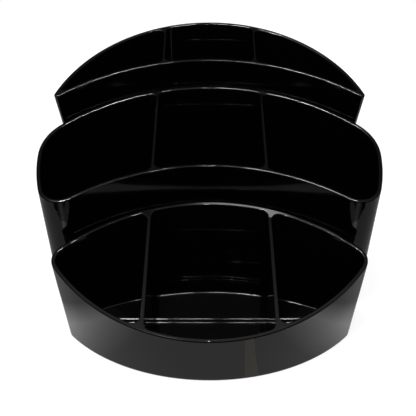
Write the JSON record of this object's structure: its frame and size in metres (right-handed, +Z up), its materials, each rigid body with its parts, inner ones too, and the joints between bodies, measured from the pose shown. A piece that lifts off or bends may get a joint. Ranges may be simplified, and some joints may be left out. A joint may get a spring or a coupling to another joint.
{
  "type": "desk organizer",
  "caption": "Black desktop organizer in three slant-topped tiers that step up from front to rear, each a curved tray with upright dividers for pens, clips and cards.",
  "frame": {"origin": "on the desk, under the middle of the whole outline", "axes": "+Z up, -Y towards the user and the lowest tier, +X to the user's right"},
  "size_m": [0.16, 0.1514, 0.1146],
  "materials": {
    "tray_plastic": "polished injection-moulded black plastic",
    "base_plastic": "fine matt texture, black",
    "pad_rubber": "matt soft rubber, dark grey"
  },
  "bodies": {
    "root": {"front_tray": "tray_plastic", "middle_tray": "tray_plastic", "rear_tray": "tray_plastic", "base_plate": "base_plastic", "pad_front_left": "pad_rubber", "pad_front_right": "pad_rubber", "pad_rear_left": "pad_rubber", "pad_rear_right": "pad_rubber"}
  },
  "joints": []
}
